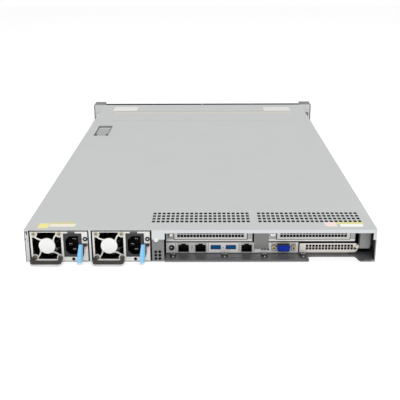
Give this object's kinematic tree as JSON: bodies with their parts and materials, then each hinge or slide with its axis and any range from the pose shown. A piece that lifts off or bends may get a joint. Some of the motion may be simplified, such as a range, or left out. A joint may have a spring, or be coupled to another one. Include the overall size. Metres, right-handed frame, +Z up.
{
  "type": "rack server",
  "caption": "Rack-mount server, one rack unit high, with slide-out power supplies, a sliding latched rear cover, drive carriers, rack ears and a recessed port panel.",
  "frame": {"origin": "middle of the whole server's bounding box, on its underside", "axes": "+X to the right seen from the rear, +Y from the rear panel to the front, +Z up"},
  "size_m": [0.4826, 0.8136, 0.0435],
  "materials": {
    "case_grey": "satin light grey zinc sheet",
    "sheet_silver": "plain zinc-plated sheet",
    "supply_silver": "warm plated sheet",
    "guard_dark": "black moulding",
    "inlet_dark": "dark grey moulding",
    "handle_dark": "dark handle moulding",
    "latch_blue": "light blue moulding",
    "steel": "plain steel",
    "port_steel": "tinned shells",
    "port_blue": "port mouldings",
    "button_blue": "translucent button",
    "blank_cream": "pale blank",
    "filler_grey": "grey plate",
    "board_green": "circuit board",
    "socket_black": "black sockets",
    "aluminium": "extruded fins",
    "cap_grey": "grey moulded caps",
    "bezel_black": "black carrier",
    "lever_grey": "grey latch lever",
    "duct_clear": "air duct"
  },
  "bodies": {
    "chassis": {"chassis_tray": "case_grey", "front_cover": "case_grey", "rack_ears": "case_grey", "ear_caps": "cap_grey", "studs": "steel", "supply_cage": "sheet_silver", "vent_panel": "sheet_silver", "io_panel": "sheet_silver", "riser_brackets": "sheet_silver", "port_shells": "port_steel", "port_inserts": "port_blue", "filler_plates": "filler_grey", "mezzanine_blank": "blank_cream", "circuit_boards": "board_green", "board_sockets": "socket_black", "heat_sinks": "aluminium", "memory_modules": "board_green", "air_duct": "duct_clear", "fan_frames": "guard_dark", "drive_cage": "sheet_silver"},
    "rear_cover": {"rear_cover": "case_grey", "latch_tray": "sheet_silver"},
    "cover_lever": {"cover_lever": "lever_grey"},
    "cover_screw": {"cover_screw": "steel"},
    "supply_1": {"supply_case_1": "supply_silver", "supply_fan_1": "guard_dark", "supply_inlet_1": "inlet_dark"},
    "supply_rotor_1": {"supply_rotor_1": "guard_dark"},
    "supply_handle_1": {"supply_handle_1": "handle_dark"},
    "supply_release_1": {"supply_release_1": "latch_blue"},
    "supply_2": {"supply_case_2": "supply_silver", "supply_fan_2": "guard_dark", "supply_inlet_2": "inlet_dark"},
    "supply_rotor_2": {"supply_rotor_2": "guard_dark"},
    "supply_handle_2": {"supply_handle_2": "handle_dark"},
    "supply_release_2": {"supply_release_2": "latch_blue"},
    "drive_1": {"drive_1": "bezel_black"},
    "drive_lever_1": {"drive_lever_1": "lever_grey"},
    "drive_button_1": {"drive_button_1": "latch_blue"},
    "drive_2": {"drive_2": "bezel_black"},
    "drive_lever_2": {"drive_lever_2": "lever_grey"},
    "drive_button_2": {"drive_button_2": "latch_blue"},
    "drive_3": {"drive_3": "bezel_black"},
    "drive_lever_3": {"drive_lever_3": "lever_grey"},
    "drive_button_3": {"drive_button_3": "latch_blue"},
    "drive_4": {"drive_4": "bezel_black"},
    "drive_lever_4": {"drive_lever_4": "lever_grey"},
    "drive_button_4": {"drive_button_4": "latch_blue"},
    "locate_button": {"locate_button": "button_blue"},
    "power_button": {"power_button": "lever_grey"},
    "captive_screw_left": {"captive_screw_left": "steel"},
    "captive_screw_right": {"captive_screw_right": "steel"},
    "fan_rotor_1": {"fan_rotor_1": "guard_dark"},
    "fan_rotor_2": {"fan_rotor_2": "guard_dark"},
    "fan_rotor_3": {"fan_rotor_3": "guard_dark"},
    "fan_rotor_4": {"fan_rotor_4": "guard_dark"},
    "fan_rotor_5": {"fan_rotor_5": "guard_dark"},
    "fan_rotor_6": {"fan_rotor_6": "guard_dark"},
    "fan_rotor_7": {"fan_rotor_7": "guard_dark"}
  },
  "joints": [
    {"name": "cover_slide", "type": "slide", "parent": "chassis", "child": "rear_cover", "axis": [0, -1, 0], "range_m": [0, 0.012]},
    {"name": "cover_lever_turn", "type": "hinge", "parent": "rear_cover", "child": "cover_lever", "pos_m": [-0.188, 0.088, 0.0403], "axis": [1, 0, 0], "range_deg": [0, 60]},
    {"name": "cover_screw_turn", "type": "hinge", "parent": "rear_cover", "child": "cover_screw", "pos_m": [-0.05482, -0.3915, 0.0305], "axis": [0, 1, 0], "continuous": true},
    {"name": "supply_slide_1", "type": "slide", "parent": "chassis", "child": "supply_1", "axis": [0, -1, 0], "range_m": [0, 0.19]},
    {"name": "supply_handle_turn_1", "type": "hinge", "parent": "supply_1", "child": "supply_handle_1", "pos_m": [-0.19135, -0.39415, 0.0054], "axis": [-1, 0, 0], "range_deg": [0, 90]},
    {"name": "supply_release_flex_1", "type": "hinge", "parent": "supply_1", "child": "supply_release_1", "pos_m": [-0.14075, -0.3315, 0.0205], "axis": [0, 0, -1], "range_deg": [0, 2.5], "stiffness_Nm_per_rad": 1},
    {"name": "supply_slide_2", "type": "slide", "parent": "chassis", "child": "supply_2", "axis": [0, -1, 0], "range_m": [0, 0.19]},
    {"name": "supply_handle_turn_2", "type": "hinge", "parent": "supply_2", "child": "supply_handle_2", "pos_m": [-0.11405, -0.39415, 0.0054], "axis": [-1, 0, 0], "range_deg": [0, 90]},
    {"name": "supply_release_flex_2", "type": "hinge", "parent": "supply_2", "child": "supply_release_2", "pos_m": [-0.06345, -0.3315, 0.0205], "axis": [0, 0, -1], "range_deg": [0, 2.5], "stiffness_Nm_per_rad": 1},
    {"name": "drive_slide_1", "type": "slide", "parent": "chassis", "child": "drive_1", "axis": [0, 1, 0], "range_m": [0, 0.15]},
    {"name": "drive_lever_turn_1", "type": "hinge", "parent": "drive_1", "child": "drive_lever_1", "pos_m": [-0.2079, 0.3804, 0.015], "axis": [0, 0, 1], "range_deg": [0, 60]},
    {"name": "drive_button_push_1", "type": "slide", "parent": "drive_1", "child": "drive_button_1", "axis": [0, -1, 0], "range_m": [0, 0.002], "stiffness_N_per_m": 200},
    {"name": "drive_slide_2", "type": "slide", "parent": "chassis", "child": "drive_2", "axis": [0, 1, 0], "range_m": [0, 0.15]},
    {"name": "drive_lever_turn_2", "type": "hinge", "parent": "drive_2", "child": "drive_lever_2", "pos_m": [-0.0999, 0.3804, 0.015], "axis": [0, 0, 1], "range_deg": [0, 60]},
    {"name": "drive_button_push_2", "type": "slide", "parent": "drive_2", "child": "drive_button_2", "axis": [0, -1, 0], "range_m": [0, 0.002], "stiffness_N_per_m": 200},
    {"name": "drive_slide_3", "type": "slide", "parent": "chassis", "child": "drive_3", "axis": [0, 1, 0], "range_m": [0, 0.15]},
    {"name": "drive_lever_turn_3", "type": "hinge", "parent": "drive_3", "child": "drive_lever_3", "pos_m": [0.0081, 0.3804, 0.015], "axis": [0, 0, 1], "range_deg": [0, 60]},
    {"name": "drive_button_push_3", "type": "slide", "parent": "drive_3", "child": "drive_button_3", "axis": [0, -1, 0], "range_m": [0, 0.002], "stiffness_N_per_m": 200},
    {"name": "drive_slide_4", "type": "slide", "parent": "chassis", "child": "drive_4", "axis": [0, 1, 0], "range_m": [0, 0.15]},
    {"name": "drive_lever_turn_4", "type": "hinge", "parent": "drive_4", "child": "drive_lever_4", "pos_m": [0.1161, 0.3804, 0.015], "axis": [0, 0, 1], "range_deg": [0, 60]},
    {"name": "drive_button_push_4", "type": "slide", "parent": "drive_4", "child": "drive_button_4", "axis": [0, -1, 0], "range_m": [0, 0.002], "stiffness_N_per_m": 200},
    {"name": "locate_push", "type": "slide", "parent": "chassis", "child": "locate_button", "axis": [0, 1, 0], "range_m": [0, 0.0012], "stiffness_N_per_m": 200},
    {"name": "power_push", "type": "slide", "parent": "chassis", "child": "power_button", "axis": [0, -1, 0], "range_m": [0, 0.0015], "stiffness_N_per_m": 200},
    {"name": "captive_turn_left", "type": "hinge", "parent": "chassis", "child": "captive_screw_left", "pos_m": [-0.23255, 0.3685, 0.02175], "axis": [0, 1, 0], "continuous": true},
    {"name": "captive_turn_right", "type": "hinge", "parent": "chassis", "child": "captive_screw_right", "pos_m": [0.23255, 0.3685, 0.02175], "axis": [0, 1, 0], "continuous": true},
    {"name": "supply_fan_spin_1", "type": "hinge", "parent": "supply_1", "child": "supply_rotor_1", "pos_m": [-0.19065, -0.3815, 0.02185], "axis": [0, 1, 0], "continuous": true},
    {"name": "supply_fan_spin_2", "type": "hinge", "parent": "supply_2", "child": "supply_rotor_2", "pos_m": [-0.11335, -0.3815, 0.02185], "axis": [0, 1, 0], "continuous": true},
    {"name": "fan_spin_1", "type": "hinge", "parent": "chassis", "child": "fan_rotor_1", "pos_m": [-0.168, 0.0475, 0.0216], "axis": [0, 1, 0], "continuous": true},
    {"name": "fan_spin_2", "type": "hinge", "parent": "chassis", "child": "fan_rotor_2", "pos_m": [-0.112, 0.0475, 0.0216], "axis": [0, 1, 0], "continuous": true},
    {"name": "fan_spin_3", "type": "hinge", "parent": "chassis", "child": "fan_rotor_3", "pos_m": [-0.056, 0.0475, 0.0216], "axis": [0, 1, 0], "continuous": true},
    {"name": "fan_spin_4", "type": "hinge", "parent": "chassis", "child": "fan_rotor_4", "pos_m": [0, 0.0475, 0.0216], "axis": [0, 1, 0], "continuous": true},
    {"name": "fan_spin_5", "type": "hinge", "parent": "chassis", "child": "fan_rotor_5", "pos_m": [0.056, 0.0475, 0.0216], "axis": [0, 1, 0], "continuous": true},
    {"name": "fan_spin_6", "type": "hinge", "parent": "chassis", "child": "fan_rotor_6", "pos_m": [0.112, 0.0475, 0.0216], "axis": [0, 1, 0], "continuous": true},
    {"name": "fan_spin_7", "type": "hinge", "parent": "chassis", "child": "fan_rotor_7", "pos_m": [0.168, 0.0475, 0.0216], "axis": [0, 1, 0], "continuous": true}
  ],
  "couplings": [
    {"joint": "cover_lever_turn", "follows": "cover_slide", "rad_per_m": 87.256}
  ]
}
